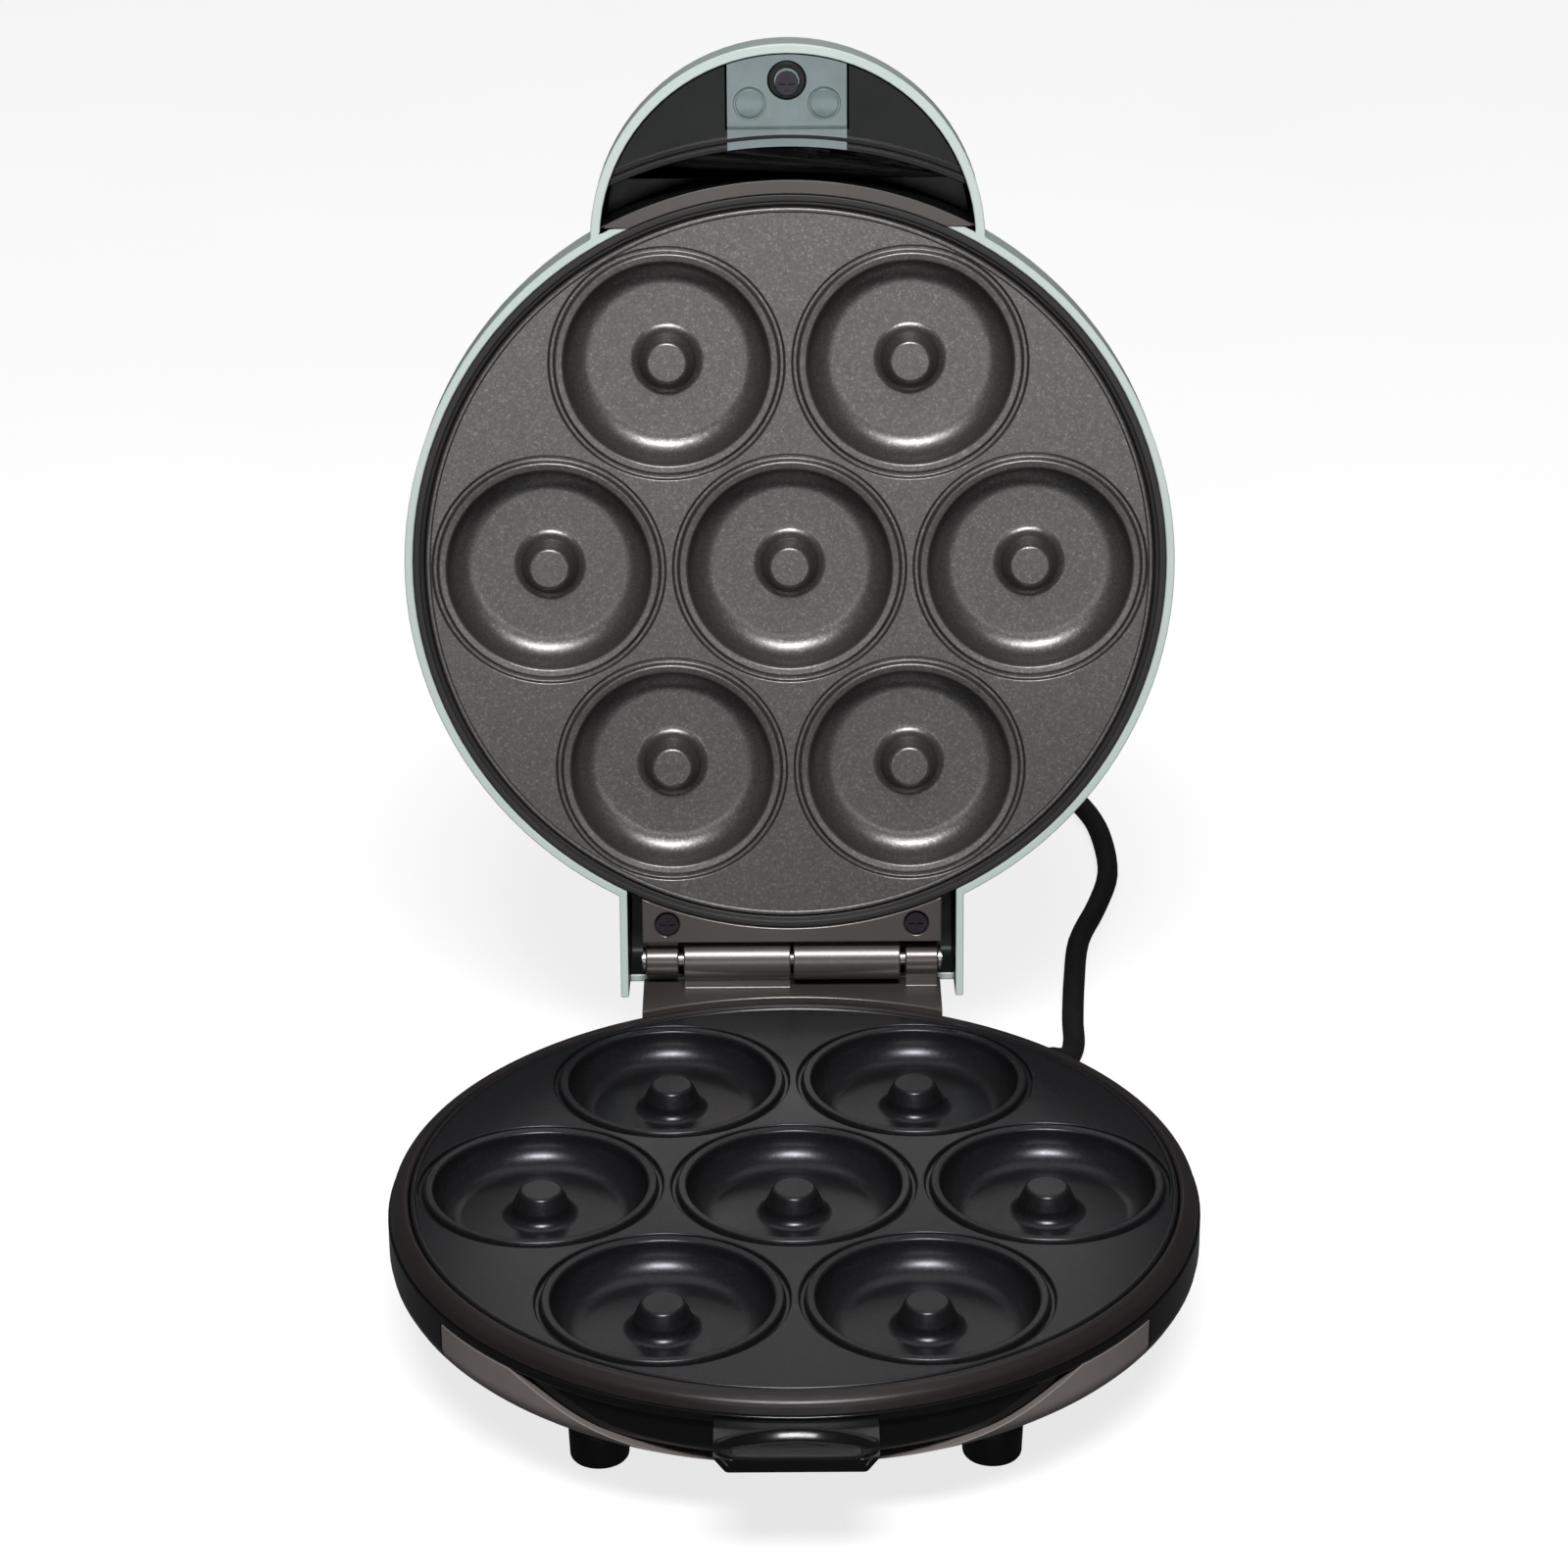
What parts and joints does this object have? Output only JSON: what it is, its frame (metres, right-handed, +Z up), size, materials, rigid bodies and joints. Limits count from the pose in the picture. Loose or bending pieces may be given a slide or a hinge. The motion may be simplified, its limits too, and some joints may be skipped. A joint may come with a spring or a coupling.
{
  "type": "donut maker",
  "caption": "Round electric donut maker with a hinged lid, ring moulds in both plates, a half-round front handle, rubber feet and a mains cord; the lid swings shut on a pin hinge.",
  "frame": {"origin": "on the table, under the middle of the footprint of the object with its lid open; the cord, its coil and the plug are left out of that footprint", "axes": "+Z up, -Y towards the handle side where a person stands, +X to that person's right; the hinge runs along X"},
  "size_m": [0.208, 0.4742, 0.3076],
  "materials": {
    "black_gloss_plastic": "glossy",
    "brown_black_plastic": "satin",
    "lid_frame_plastic": "satin",
    "satin_trim": "satin",
    "nonstick_coating": "satin",
    "heater_sheath": "matte",
    "bare_aluminium": "satin",
    "black_matte_plastic": "matte",
    "zinc_screws": "satin",
    "hinge_steel": "satin",
    "black_rubber": "matte",
    "cord_sheath": "satin",
    "plug_rubber": "matte",
    "brass": "satin",
    "ceramic_white": "matte",
    "wire_sleeve": "matte",
    "mint_white_plastic": "glossy",
    "lamp_cover_plastic": "satin",
    "red_lens": "glossy",
    "green_lens": "glossy"
  },
  "bodies": {
    "base": {"base_housing": "black_gloss_plastic", "base_bezel": "brown_black_plastic", "lower_plate": "nonstick_coating", "lower_heater": "heater_sheath", "lower_reflector": "bare_aluminium", "bottom_cover": "black_matte_plastic", "bottom_screws": "zinc_screws", "front_trim_band": "satin_trim", "front_grip": "black_gloss_plastic", "front_feet": "black_rubber", "rear_feet": "black_rubber", "base_hinge_bracket": "brown_black_plastic", "base_bracket_screws": "zinc_screws", "hinge_pin": "hinge_steel", "pin_clips": "hinge_steel", "lower_plate_screws": "zinc_screws", "lower_reflector_screws": "zinc_screws", "thermostat": "ceramic_white", "thermal_fuse": "zinc_screws", "terminal_block": "ceramic_white", "cord_clamp": "black_matte_plastic", "base_wiring": "wire_sleeve", "strain_relief": "black_rubber", "power_cord": "cord_sheath", "cord_coil": "cord_sheath", "cord_tie": "black_matte_plastic", "plug_body": "plug_rubber", "plug_pins": "brass"},
    "lid": {"lid_shell": "mint_white_plastic", "lid_bezel": "lid_frame_plastic", "upper_plate": "nonstick_coating", "upper_heater": "heater_sheath", "upper_reflector": "bare_aluminium", "upper_plate_screws": "zinc_screws", "upper_reflector_screws": "zinc_screws", "lid_hinge_bracket": "brown_black_plastic", "lid_bracket_screws": "zinc_screws", "handle_inner_cover": "black_matte_plastic", "lamp_cover": "lamp_cover_plastic", "lamp_cover_screw": "zinc_screws", "power_lamp": "red_lens", "ready_lamp": "green_lens", "power_lens": "red_lens", "ready_lens": "green_lens", "lid_wiring": "wire_sleeve"}
  },
  "joints": [
    {"name": "lid_hinge", "type": "hinge", "parent": "base", "child": "lid", "pos_m": [0, 0.0869, 0.0551], "axis": [1, 0, 0], "range_deg": [0, 98]}
  ]
}
